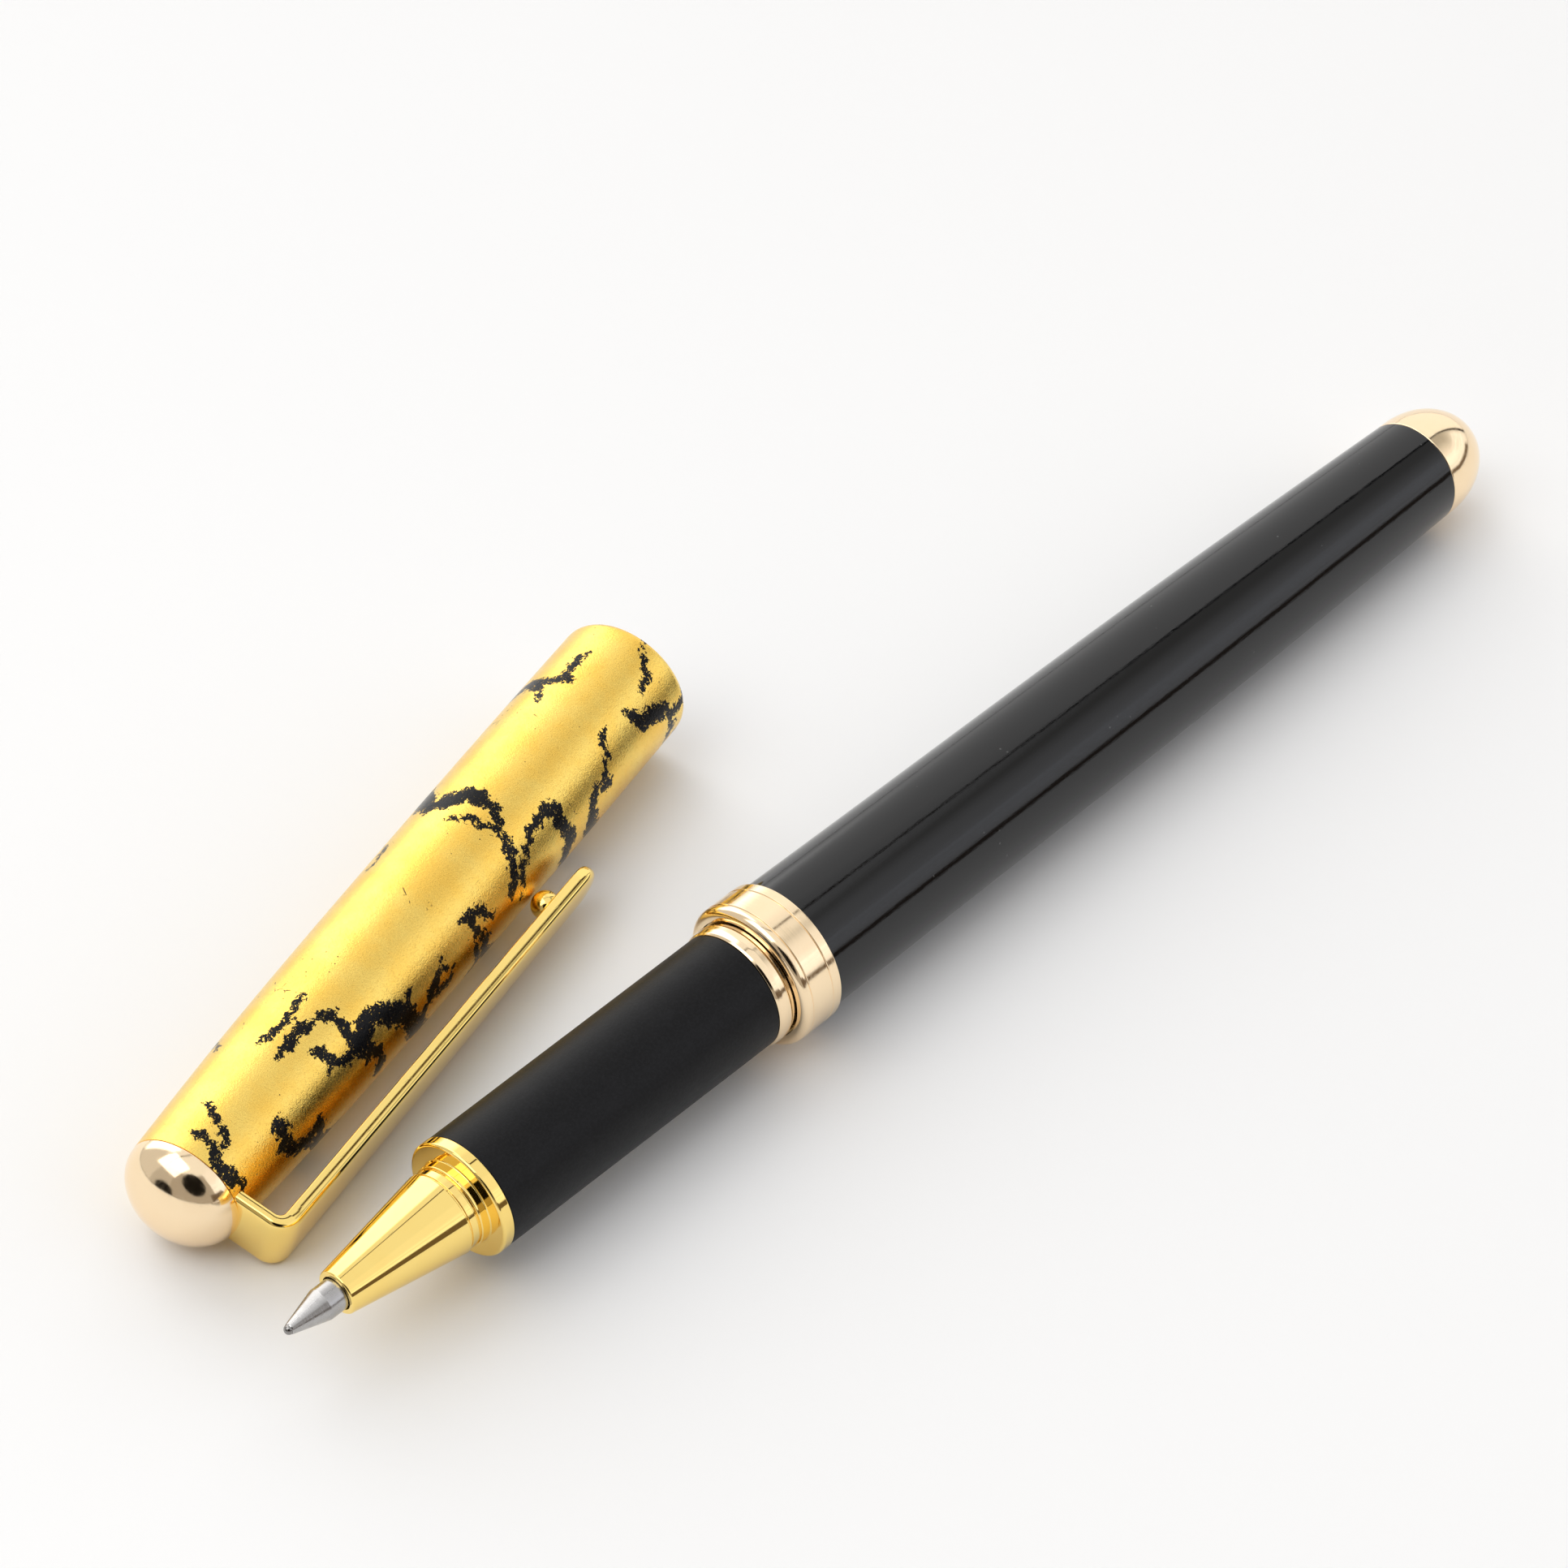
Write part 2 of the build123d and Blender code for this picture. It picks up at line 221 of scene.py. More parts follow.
def black_lacquer():
    """Deep gloss lacquer, with a very faint orange peel, hairlines, scratches and specks of dust."""
    material, shade, shader = new_material("black_lacquer")
    place = shade.object_place()
    peel = shade.noise(place, 900.0, 2.0)
    scratch_field = shade.noise(shade.scaled(place, (260.0, 4200.0, 4200.0)), 1.0, 2.0, 0.7)
    scratches = shade.step(scratch_field, 0.70, 0.76)
    hairlines = shade.noise(shade.scaled(place, (700.0, 9000.0, 9000.0)), 1.0, 3.0, 0.7)
    specks = shade.step(shade.cells(place, 900.0), 0.05, 0.09, 1.0, 0.0)
    rare = shade.step(shade.noise(place, 300.0, 2.0), 0.56, 0.62)
    dust = shade.times(specks, rare)
    base = shade.mix(dust, (0.0022, 0.0022, 0.0026), (0.06, 0.06, 0.06))
    haze = shade.times(shade.step(shade.noise(place, 130.0, 4.0), 0.4, 0.7), 0.025)
    rough = shade.add(shade.add(0.03, haze), shade.times(scratches, 0.12))
    height = shade.add(shade.add(peel, shade.times(dust, 0.2)), shade.times(hairlines, 0.9))
    set_inputs(shade, shader, {
        "Base Color": base,
        "Roughness": rough,
        "IOR": 1.48,
        "Normal": shade.bump(height, 0.004 * MM, 0.75),
    })
    return material


def gold_leaf_lacquer():
    """Gold leaf laid over black lacquer and torn open along cracks.

    The mesh carries "crack": half the crack's width less the distance to its middle line, in mm.
    """
    material, shade, shader = new_material("gold_leaf_lacquer")
    place = shade.object_place()
    crack = shade.node("ShaderNodeAttribute", {"attribute_name": "crack"}, {}, "Fac")

    ragged = shade.less(shade.noise(place, 1400.0, 5.0, 0.65), 0.5)
    shards = shade.less(shade.cell_value(place, 3400.0), 0.5)
    splinters = shade.less(shade.cell_value(place, 9000.0), 0.5)
    tear = shade.add(shade.times(shards, 0.50), shade.times(splinters, 0.26))
    edge = shade.add(crack, shade.add(shade.times(ragged, 0.75), tear))
    spread = 0.12
    soft = 0.012
    opened = shade.step(edge, -spread - soft, soft - spread)
    inside = shade.step(crack, 0.10, 0.45)
    fleck_field = shade.noise(place, 5200.0, 4.0, 0.75)
    flecks = shade.step(shade.less(fleck_field, shade.times(inside, 0.05)), 0.60, 0.63)
    opened = shade.times(opened, shade.less(1.0, flecks))

    pins = shade.step(shade.cells(place, 1500.0), 0.07, 0.10, 1.0, 0.0)
    pin_zone = shade.step(shade.noise(place, 260.0, 3.0, 0.6), 0.53, 0.60)
    grain_breaks = shade.noise(place, 2600.0, 2.0)
    hair = shade.step(shade.cells(shade.scaled(place, (0.6, 1.0, 1.0)), 420.0, "DISTANCE_TO_EDGE"),
                      0.006, 0.014, 1.0, 0.0)
    hair_zone = shade.step(shade.noise(place, 330.0, 2.0, 0.5), 0.64, 0.70)
    hair = shade.times(hair, shade.step(grain_breaks, 0.48, 0.56))
    small = shade.math("MAXIMUM", shade.times(pins, pin_zone), shade.times(hair, hair_zone))
    torn = shade.math("MAXIMUM", opened, shade.times(small, 0.85))

    grain = shade.noise(place, 8000.0, 3.0, 0.75)
    crumple = shade.noise(place, 3600.0, 4.0, 0.7)
    cloud = shade.noise(place, 300.0, 4.0, 0.6)
    gold = shade.mix(shade.step(cloud, 0.3, 0.7), (1.0, 0.71, 0.17), (1.0, 0.63, 0.115))
    gold = shade.mix(shade.step(grain, 0.52, 0.72, 0.0, 0.5), gold, (0.74, 0.42, 0.07))
    lacquer = shade.mix(shade.step(splinters, 0.1, 0.5), (0.003, 0.003, 0.004), (0.010, 0.008, 0.007))
    leaf_rough = shade.add(0.17, shade.times(shade.step(grain, 0.35, 0.7), 0.13))

    leaf_height = shade.add(shade.times(grain, 1.0), shade.times(crumple, 1.0))
    height = shade.less(leaf_height, shade.times(torn, 0.5))
    set_inputs(shade, shader, {
        "Base Color": shade.mix(torn, gold, lacquer),
        "Metallic": shade.less(1.0, torn),
        "Roughness": shade.add(shade.times(leaf_rough, shade.less(1.0, torn)), shade.times(torn, 0.12)),
        "IOR": 1.25,
        "Normal": shade.bump(height, 0.035 * MM, 0.6),
    })
    return material


def grip_black():
    """Matte black rubbery lacquer with a fine even grain."""
    material, shade, shader = new_material("grip_black")
    place = shade.object_place()
    grain = shade.noise(place, 5200.0, 4.0, 0.7)
    cloud = shade.noise(place, 500.0, 3.0, 0.6)
    rub = shade.step(shade.noise(shade.scaled(place, (300.0, 900.0, 900.0)), 1.0, 3.0), 0.5, 0.8)
    base = shade.mix(shade.step(grain, 0.35, 0.7), (0.0036, 0.0036, 0.0042), (0.0080, 0.0080, 0.0092))
    base = shade.mix(shade.times(shade.step(cloud, 0.5, 0.8), 0.35), base, (0.014, 0.014, 0.016))
    set_inputs(shade, shader, {
        "Base Color": base,
        "Roughness": shade.less(0.44, shade.times(rub, 0.08)),
        "IOR": 1.27,
        "Normal": shade.bump(grain, 0.018 * MM, 0.6),
    })
    return material


def moulded(name, colour, shadow, rough, clear=0.0):
    """Moulded plastic or rubber: slight flow marks and a fine texture."""
    material, shade, shader = new_material(name)
    place = shade.object_place()
    flow = shade.noise(shade.scaled(place, (160.0, 900.0, 900.0)), 1.0, 3.0, 0.6)
    texture = shade.noise(place, 5000.0, 3.0, 0.6)
    base = shade.mix(shade.step(flow, 0.3, 0.75), colour, shadow)
    set_inputs(shade, shader, {
        "Base Color": base,
        "Roughness": shade.add(rough, shade.times(shade.step(texture, 0.3, 0.8), 0.12)),
        "Transmission Weight": clear,
        "Normal": shade.bump(shade.add(shade.times(texture, 0.5), flow), 0.006 * MM, 0.6),
    })
    return material


def feed_fibre(name, colour, ink):
    """Bonded fibres that run along the axis, stained by the ink."""
    material, shade, shader = new_material(name)
    place = shade.object_place()
    fibres = shade.noise(shade.scaled(place, (600.0, 9000.0, 9000.0)), 1.0, 4.0, 0.7)
    stain = shade.step(shade.noise(place, 300.0, 4.0, 0.6), 0.40, 0.62)
    clean = shade.mix(fibres, colour, (0.55, 0.53, 0.5))
    set_inputs(shade, shader, {
        "Base Color": shade.mix(shade.times(stain, 0.85), clean, ink),
        "Roughness": 0.85,
        "Normal": shade.bump(fibres, 0.03 * MM),
    })
    return material


def floor_paper():
    """Smooth pale studio paper with a barely visible tooth."""
    material, shade, shader = new_material("studio_paper")
    place = shade.object_place()
    tooth = shade.noise(place, 2500.0, 4.0, 0.6)
    cloud = shade.noise(place, 9.0, 3.0, 0.5)
    set_inputs(shade, shader, {
        "Base Color": shade.mix(cloud, (0.90, 0.899, 0.897), (0.885, 0.884, 0.882)),
        "Roughness": shade.step(tooth, 0.2, 0.8, 0.60, 0.72),
        "Normal": shade.bump(tooth, 0.01 * MM, 0.25),
    })
    return material


YELLOW = (1.0, 0.745, 0.24)
YELLOW_DARK = (0.97, 0.64, 0.15)
CHAMPAGNE = (0.99, 0.785, 0.52)
CHAMPAGNE_DARK = (0.94, 0.69, 0.41)
BRASS = (0.80, 0.58, 0.27)
BRASS_DARK = (0.52, 0.34, 0.14)
STEEL = (0.50, 0.49, 0.48)
STEEL_DARK = (0.33, 0.32, 0.32)
TUBE_STEEL = (0.66, 0.66, 0.66)
TUBE_STEEL_DARK = (0.5, 0.5, 0.5)

MATERIALS = {
    "black_lacquer": black_lacquer(),
    "gold_leaf_lacquer": gold_leaf_lacquer(),
    "champagne_gold": turned_metal("champagne_gold", CHAMPAGNE, CHAMPAGNE_DARK, 0.10, 1.0, 0.0018),
    "yellow_gold": turned_metal("yellow_gold", YELLOW, YELLOW_DARK, 0.045, 0.5, 0.0010, 0.2, 0.04),
    "grip_black": grip_black(),
    "bare_brass": turned_metal("bare_brass", BRASS, BRASS_DARK, 0.24, 1.0, 0.005, 0.6, 0.14),
    "refill_steel": turned_metal("refill_steel", STEEL, STEEL_DARK, 0.23, 1.0, 0.003, 0.45),
    "ball_carbide": turned_metal("ball_carbide", (0.30, 0.29, 0.28), (0.16, 0.15, 0.15), 0.14, 0.3),
    "holder_plastic": moulded("holder_plastic", (0.70, 0.69, 0.65), (0.60, 0.58, 0.53), 0.28, 0.15),
    "refill_tube_metal": turned_metal("refill_tube_metal", TUBE_STEEL, TUBE_STEEL_DARK, 0.26, 1.0, 0.003),
    "feed_fibre": feed_fibre("feed_fibre", (0.74, 0.72, 0.68), (0.012, 0.012, 0.03)),
    "end_plug_plastic": moulded("end_plug_plastic", (0.03, 0.03, 0.034), (0.02, 0.02, 0.022), 0.38),
    "spring_steel": turned_metal("spring_steel", (0.55, 0.54, 0.52), (0.36, 0.35, 0.33), 0.2, 0.6),
    "seal_rubber": moulded("seal_rubber", (0.018, 0.018, 0.018), (0.03, 0.03, 0.03), 0.6),
    "liner_plastic": moulded("liner_plastic", (0.035, 0.035, 0.038), (0.022, 0.022, 0.024), 0.36),
    "screw_steel": turned_metal("screw_steel", STEEL, STEEL_DARK, 0.28, 1.0, 0.004, 0.4),
}


# ---------------------------------------------------------------- mesh helpers

def rounded(corners, turn_step=15.0, hold=0.03):
    """The closed outline through (along, radius, rounding) corners, each rounded by a short arc.

    Two more points, a little beyond each arc, keep the flat faces flat when they are shaded smooth.
    """
    points = []
    count = len(corners)
    for index, (along, radius, rounding) in enumerate(corners):
        here = Vector((along, radius))
        before = Vector(corners[index - 1][:2]) - here
        after = Vector(corners[(index + 1) % count][:2]) - here
        room = 0.45 * min(before.length, after.length)
        before.normalize()
        after.normalize()
        turn = math.pi - before.angle(after, math.pi)
        if rounding <= 0 or turn < 0.02:
            points.append(here)
            continue
        reach = min(rounding * math.tan(turn / 2), room)
        radius_here = reach / math.tan(turn / 2)
        middle = here + (before + after).normalized() * radius_here / math.cos(turn / 2)
        start = here + before * reach - middle
        end = here + after * reach - middle
        steps = max(3, math.ceil(math.degrees(turn) / turn_step))
        spare = min(hold, 0.08 * room)
        points.append(here + before * (reach + spare))
        for k in range(steps + 1):
            mixed = start.lerp(end, k / steps).normalized() * radius_here
            points.append(middle + mixed)
        points.append(here + after * (reach + spare))
    return points


def curve_through(points, spacing, rounding=0.0):
    """Outline points on a smooth curve through the given (along, radius) points."""
    count = len(points)
    xs = np.array([p[0] for p in points])
    ys = np.array([p[1] for p in points])
    gaps = np.diff(xs)
    system = np.zeros((count, count))
    right = np.zeros(count)
    system[0, 0] = system[-1, -1] = 1.0
    for i in range(1, count - 1):
        system[i, i - 1:i + 2] = gaps[i - 1], 2 * (gaps[i - 1] + gaps[i]), gaps[i]
        right[i] = 6 * ((ys[i + 1] - ys[i]) / gaps[i] - (ys[i] - ys[i - 1]) / gaps[i - 1])
    bend = np.linalg.solve(system, right)
    found = []
    for x in np.linspace(xs[0], xs[-1], max(2, round((xs[-1] - xs[0]) / spacing) + 1)):
        i = min(int(np.searchsorted(xs, x, "right")) - 1, count - 2)
        a = (xs[i + 1] - x) / gaps[i]
        b = 1 - a
        curve = ((a ** 3 - a) * bend[i] + (b ** 3 - b) * bend[i + 1]) * gaps[i] ** 2 / 6
        found.append((float(x), float(a * ys[i] + b * ys[i + 1] + curve), rounding))
    return found


def finish_mesh(name, verts, faces, sharp=32.0):
    """A smooth-shaded mesh with its faces turned outwards, from places in millimetres."""
    mesh = bpy.data.meshes.new(name)
    mesh.from_pydata([tuple(c * MM for c in v) for v in verts], [], faces)
    shape = bmesh.new()
    shape.from_mesh(mesh)
    bmesh.ops.remove_doubles(shape, verts=shape.verts, dist=0.0001 * MM)
    bmesh.ops.recalc_face_normals(shape, faces=shape.faces)
    shape.to_mesh(mesh)
    shape.free()
    mesh.polygons.foreach_set("use_smooth", [True] * len(mesh.polygons))
    mesh.set_sharp_from_angle(angle=math.radians(sharp))
    return mesh


def lathe_parts(outline, segments, height=None):
    """Places and faces of a solid turned about +X. height(along, degrees, radius) may reshape it."""
    verts = []
    rings = []
    for along, radius in outline:
        if radius < 1e-6:
            rings.append([len(verts)])
            verts.append((along, 0.0, 0.0))
            continue
        rings.append(list(range(len(verts), len(verts) + segments)))
        for k in range(segments):
            turn = 2 * math.pi * k / segments
            r = radius if height is None else height(along, math.degrees(turn), radius)
            verts.append((along, -r * math.sin(turn), r * math.cos(turn)))
    faces = []
    for here, there in zip(rings, rings[1:] + rings[:1]):
        for k in range(segments):
            n = (k + 1) % segments
            near = [here[k % len(here)], here[n % len(here)]]
            far = [there[n % len(there)], there[k % len(there)]]
            face = list(dict.fromkeys(near + far))
            if len(face) > 2:
                faces.append(face)
    return verts, faces


def place_piece(name, mesh, place, body, slot, replaced):
    """Lays the piece down, lets it ride on its body and gives it its material.

    The mesh is turned so that the piece's own Z axis points straight up, which keeps its box tight.
    """
    along = place.col[0]
    level = local_frame(place.translation, (along.x, along.y, 0), (-along.y, along.x, 0))
    mesh.transform(level.inverted() @ place)
    piece = bpy.data.objects.new(name, mesh)
    bpy.context.scene.collection.objects.link(piece)
    piece.matrix_world = level
    mesh.materials.append(MATERIALS[slot])
    if body:
        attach(piece, body)
    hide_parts(*replaced)
    return piece


def lathe(name, corners, place, body, slot, segments=128, height=None):
    """A turned piece that stands for the CAD node of the same name."""
    outline = [(p[0], p[1]) for p in rounded(corners)]
    verts, faces = lathe_parts(outline, segments, height)
    mesh = finish_mesh(name, verts, faces)
    return place_piece(name + "_fine", mesh, place, body, slot, [name])


def arc_outline(centre, size, start, end, steps, rounding=0.0):
    """Points round part of an ellipse, from one angle to another in degrees."""
    found = []
    for k in range(steps + 1):
        turn = math.radians(start + (end - start) * k / steps)
        found.append((centre[0] + size[0] * math.cos(turn), centre[1] + size[1] * math.sin(turn), rounding))
    return found


# ---------------------------------------------------------------- refill and section

SHOULDER = 3.1
NOSE_FRONT = 4.4
CONE_END = 13.5
FLANGE_FRONT = 15.1
FLANGE_BACK = 16.0
GRIP_END = 40.9
SNAP_END = 42.15
BAND_FRONT = 42.45
BAND_BACK = 45.95
THREAD_END = 52.5
BARREL_END = 115.7
PEN_LENGTH = 122.0
TIP_R = 1.15
CORE_R = 3.9
THREAD_R = 3.72
STUD_R = 1.25
DOME_R = 4.2


def writing_ball():
    ball = arc_outline((BALL_R, 0.0), (BALL_R, BALL_R), 180, 0, 24)
    lathe("writing_ball", ball, PEN, "ball", "ball_carbide", 48)


def refill_tip():
    """Steel cone with a rolled lip round the ball, a cylindrical shoulder and the ink bore."""
    corners = [
        (0.42, 0.24, 0.0), (0.36, 0.33, 0.02), (0.34, 0.37, 0.03), (0.44, 0.41, 0.05),
        (SHOULDER, TIP_R, 0.12), (9.0, TIP_R, 0.03),
        (9.0, 0.5, 0.03), (1.2, 0.5, 0.0), (1.2, 0.24, 0.0),
    ]
    lathe("refill_tip", corners, PEN, "refill", "refill_steel", 96)


def nose_cone():
    """Gold cone with two stepped rings and a flange, and its tenon hidden in the section."""
    hole = 1.23
    front = 1.62
    cone = 3.05
    step_1 = 2.98
    step_2 = 3.08
    flange = 4.34
    corners = [
        (NOSE_FRONT, hole, 0.05), (NOSE_FRONT, front - 0.02, 0.16),
        (CONE_END, cone, 0.10), (CONE_END, cone - 0.15, 0.02),
        (CONE_END + 0.15, cone - 0.15, 0.02), (CONE_END + 0.15, step_1, 0.07),
        (14.2, step_1, 0.07), (14.2, step_1 - 0.1, 0.02),
        (14.35, step_1 - 0.1, 0.02), (14.35, step_2, 0.09),
        (FLANGE_FRONT, step_2, 0.10), (FLANGE_FRONT, flange - 0.02, 0.22),
        (FLANGE_BACK, flange, 0.06), (FLANGE_BACK, 3.4, 0.02),
        (21.5, 3.4, 0.1), (21.5, 2.7, 0.05), (14.0, 2.7, 0.0), (12.3, 1.55, 0.0),
        (NOSE_FRONT + 1.0, 1.55, 0.0), (NOSE_FRONT + 1.0, hole, 0.05),
    ]
    lathe("nose_cone", corners, PEN, "section", "yellow_gold", 160)


def grip_sleeve():
    corners = [
        (FLANGE_BACK, CORE_R, 0.0), (FLANGE_BACK, 4.30, 0.12), (28.0, 4.35, 0.0),
        (GRIP_END, 4.40, 0.12), (GRIP_END, CORE_R, 0.0),
    ]
    lathe("grip_sleeve", corners, PEN, "section", "grip_black", 128)


def snap_ring():
    """Crowned ring that the cap clicks over, with a lower collar that fills the gap behind it."""
    top = 4.58
    collar = 4.46
    collar_end = 42.37
    corners = [
        (GRIP_END, CORE_R, 0.0), (GRIP_END, 4.42, 0.05), (GRIP_END + 0.16, top - 0.06, 0.1),
        (GRIP_END + 0.55, top, 0.8), (SNAP_END - 0.22, top - 0.01, 0.2),
        (SNAP_END - 0.06, top - 0.12, 0.08), (SNAP_END, collar, 0.05),
        (collar_end, collar, 0.05), (collar_end, CORE_R, 0.0),
    ]
    lathe("snap_ring", corners, PEN, "section", "champagne_gold", 144)


def section_core():
    """Brass sleeve; its thread is a helical ridge, and it runs out at both ends."""
    pitch = 0.75
    depth = 0.22
    first = BAND_FRONT + 1.25
    last = THREAD_END - 0.35
    rows = 110
    thread = []
    for k in range(rows + 1):
        thread.append((first + (last - first) * k / rows, THREAD_R - depth, 0.0))
    corners = [
        (FLANGE_BACK, 3.74, 0.0), (FLANGE_BACK, CORE_R, 0.02), (SNAP_END, CORE_R, 0.02),
        (SNAP_END, THREAD_R, 0.02), (BAND_FRONT + 0.45, THREAD_R, 0.03),
        (BAND_FRONT + 0.45, THREAD_R - 0.35, 0.03), (BAND_FRONT + 1.05, THREAD_R - 0.35, 0.03),
        (BAND_FRONT + 1.05, THREAD_R - depth, 0.03), *thread,
        (THREAD_END, THREAD_R - 0.4, 0.05), (THREAD_END, 2.98, 0.03), (21.6, 2.98, 0.0),
        (21.6, 3.4, 0.0), (FLANGE_BACK + 0.6, 3.4, 0.0), (FLANGE_BACK + 0.6, 3.74, 0.0),
    ]

    def ridge(along, degrees, radius):
        if not first <= along <= last or radius < THREAD_R - depth - 0.01:
            return radius
        phase = (along / pitch - degrees / 360) % 1
        crest = min(1.0, max(0.0, 1.35 - abs(phase - 0.5) * 4.2))
        runout = min(1.0, (along - first) / 0.5, (last - along) / 0.5)
        return radius + depth * crest * max(0.0, runout)

    lathe("section_core", corners, PEN, "section", "bare_brass", 120, ridge)


# ---------------------------------------------------------------- barrel

def centre_band():
    """Wide ring with a rounded front edge and two fine scored lines."""
    top = 5.42
    bore = 4.55
    half = 0.07
    rim = 4.82
    front = BAND_FRONT - 0.04
    brow = arc_outline((front + 0.60, rim), (0.60, top - rim), 180, 90, 12)
    corners = [(front, bore + 0.05, 0.0), *brow]
    for line in (BAND_FRONT + 0.75, BAND_BACK - 0.8):
        corners += [(line - half, top, 0.03), (line, top - 0.09, 0.015), (line + half, top, 0.03)]
    corners += [(BAND_BACK, top, 0.09), (BAND_BACK, bore, 0.0)]
    lathe("centre_band", corners, PEN, "barrel", "champagne_gold", 192)


def barrel_tube():
    profile = [
        (BAND_BACK, 5.06), (60.0, 4.97), (80.0, 4.87), (95.0, 4.68), (106.0, 4.44), (BARREL_END, DOME_R),
    ]
    outer = curve_through(profile, 1.0)
    outer[0] = (*outer[0][:2], 0.10)
    outer[-1] = (*outer[-1][:2], 0.09)
    corners = [*outer, (BARREL_END, 3.6, 0.0), (56.5, 3.6, 0.0), (56.5, 4.2, 0.0), (BAND_BACK, 4.2, 0.0)]
    lathe("barrel_tube", corners, PEN, "barrel", "black_lacquer", 192)


def rear_dome():
    collar = 0.9
    size = (PEN_LENGTH - BARREL_END - collar, DOME_R)
    nose = arc_outline((BARREL_END + collar, 0.0), size, 0, 90, 40)
    corners = [
        *nose, (BARREL_END, DOME_R, 0.09), (BARREL_END, STUD_R, 0.0),
        (BARREL_END + 2.8, STUD_R, 0.0), (BARREL_END + 2.8, 0.0, 0.0),
    ]
    lathe("rear_dome", corners, PEN, "barrel", "champagne_gold", 144)


def refill_spring():
    """Round wire coil with closed ends."""
    wire = 0.2
    coil = 2.05
    front = 107.7
    back = 113.0
    turns = 7.0
    per_turn = 40
    round_wire = 12
    verts = []
    count = int(turns * per_turn)
    for i in range(count + 1):
        t = i / count
        dead = 1.0 / turns
        rise = min(1.0, max(0.0, (t - dead) / (1 - 2 * dead)))
        along = front + 2 * wire * min(1.0, t / dead) * 0.5 + (back - front - 2 * wire) * rise
        along += wire * max(0.0, t - (1 - dead)) / dead
        turn = 2 * math.pi * turns * t
        out = Vector((0.0, math.cos(turn), math.sin(turn)))
        for k in range(round_wire):
            angle = 2 * math.pi * k / round_wire
            point = out * (coil + wire * math.cos(angle)) + Vector((along + wire * math.sin(angle), 0, 0))
            verts.append(tuple(point))
    faces = []
    for i in range(count):
        for k in range(round_wire):
            n = (k + 1) % round_wire
            a = i * round_wire
            b = a + round_wire
            faces.append((a + k, a + n, b + n, b + k))
    faces.append(tuple(range(round_wire)))
    faces.append(tuple(range(count * round_wire, (count + 1) * round_wire)))
    mesh = finish_mesh("refill_spring", verts, faces)
    spring = place_piece("refill_spring_fine", mesh, PEN, "barrel", "spring_steel", ["refill_spring"])
    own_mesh(spring)


# ---------------------------------------------------------------- cap

CAP_GIRTH = 2 * math.pi * 5.0
CRACK_SEED = 4
BROAD_CRACKS = 15
THIN_CRACKS = 22


def grow_crack(draw, pieces, start, heading, length, width):
    """Adds a crack that wanders off from its start, swells and thins out, and may send out branches."""
    step = 0.45
    count = max(3, round(length / step))
    curl = draw.uniform(-0.06, 0.06)
    sway = 0.0
    x, y = start
    half = width * 0.15
    for i in range(1, count + 1):
        heading += curl
        sway = 0.7 * sway + draw.gauss(0, 0.42)
        to_x = x + step * math.cos(heading + sway)
        to_y = y + step * math.sin(heading + sway)
        swell = math.sin(math.pi * min(1.0, 0.2 + 0.8 * i / count)) ** 0.7
        to_half = max(0.04, width / 2 * swell * draw.uniform(0.45, 1.5))
        pieces.append((x, y, half, to_x, to_y, to_half))
        if width > 0.6 and draw.random() < 0.07:
            side = draw.choice((-1, 1)) * draw.uniform(0.6, 1.3)
            branch_length = draw.uniform(1.5, 5.0)
            grow_crack(draw, pieces, (to_x, to_y), heading + side, branch_length, width * 0.5)
        x, y, half = to_x, to_y, to_half


def crack_lines():
    """Every crack as straight pieces on the unrolled cap, in mm: (x0, y0, half0, x1, y1, half1).

    Broad cracks are spread along the cap and run mostly round it. Thin ones run mostly along it.
    """
    draw = random.Random(CRACK_SEED)
    pieces = []
    for k in range(BROAD_CRACKS):
        start = (CAP_LENGTH * (k + draw.random()) / BROAD_CRACKS, draw.uniform(0, CAP_GIRTH))
        heading = draw.choice((-1, 1)) * draw.uniform(0.7, 1.8)
        grow_crack(draw, pieces, start, heading, draw.uniform(6.0, 15.0), draw.uniform(0.7, 1.5))
    for _ in range(THIN_CRACKS):
        start = (draw.uniform(0, CAP_LENGTH), draw.uniform(0, CAP_GIRTH))
        heading = draw.uniform(-0.9, 0.9)
        grow_crack(draw, pieces, start, heading, draw.uniform(1.5, 6.0), draw.uniform(0.25, 0.55))
    return pieces


def crack_field(along, around):
    """Half the width of the nearest crack less the distance to its middle, in mm, at many places."""
    field = np.full(along.shape, -3.0)
    for x0, y0, half0, x1, y1, half1 in crack_lines():
        near = np.abs(along - (x0 + x1) / 2) < 3.5
        px = along[near] - x0
        py = (around[near] - y0 + CAP_GIRTH / 2) % CAP_GIRTH - CAP_GIRTH / 2
        dx = x1 - x0
        dy = y1 - y0
        length = dx * dx + dy * dy + 1e-9
        t = np.clip((px * dx + py * dy) / length, 0, 1)
        distance = np.hypot(px - t * dx, py - t * dy)
        value = half0 + (half1 - half0) * t - distance
        field[near] = np.maximum(field[near], value)
    return field


